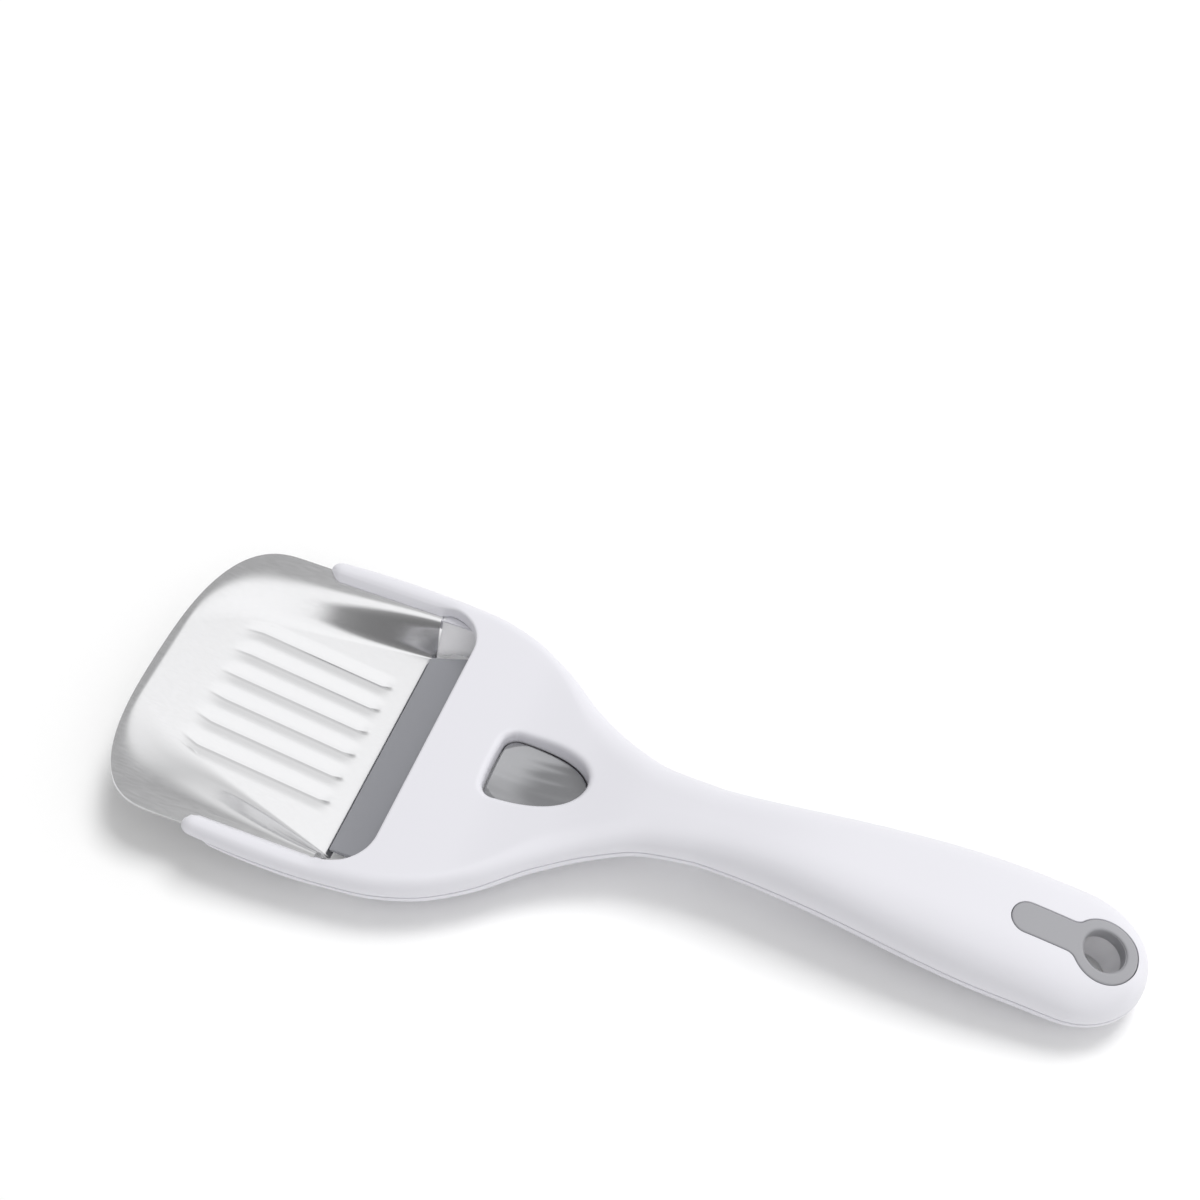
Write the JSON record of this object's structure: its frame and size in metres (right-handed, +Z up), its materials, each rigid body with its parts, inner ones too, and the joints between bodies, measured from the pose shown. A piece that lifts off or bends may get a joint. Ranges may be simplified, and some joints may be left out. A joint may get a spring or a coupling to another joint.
{
  "type": "cheese_plane",
  "caption": "Hand-held slicing plane: two-part white plastic body with long handle, stamped ribbed steel plate, sprung thumb pad that widens the slot, hanging eyelet",
  "frame": {"origin": "Centre of the object's plan on the table plane, on which the cutting edge and the handle's end rest", "axes": "+X along the tool towards the handle's hanging end, +Y across it, +Z up"},
  "size_m": [0.24, 0.0852, 0.022],
  "materials": {
    "sheet_steel": "satin stamped stainless sheet",
    "white_body": "smooth white moulded plastic with a soft sheen",
    "gate_grey": "matte light grey moulded plastic",
    "lever_white": "plain white moulded plastic, hidden inside",
    "pad_grey": "polished light grey moulded plastic",
    "pin_steel": "drawn stainless steel",
    "eyelet_grey": "matte grey moulded plastic"
  },
  "bodies": {
    "body": {"slicing_plate": "sheet_steel", "upper_shell": "white_body", "lower_shell": "white_body", "pivot_pin": "pin_steel", "return_spring": "pin_steel", "hang_eyelet": "eyelet_grey", "shell_screw_front_left": "pin_steel", "shell_screw_front_right": "pin_steel", "shell_screw_neck": "pin_steel", "shell_screw_grip": "pin_steel"},
    "lever": {"thickness_gate": "gate_grey", "lever_frame": "lever_white", "thumb_pad": "pad_grey"}
  },
  "joints": [
    {"name": "thumb_lever_press", "type": "hinge", "parent": "body", "child": "lever", "pos_m": [-0.038, 0, 0.008], "axis": [0, 1, 0], "range_deg": [0, 5], "stiffness_Nm_per_rad": 0.6, "springref_deg": -5.73, "deforming": ["return_spring"]}
  ]
}
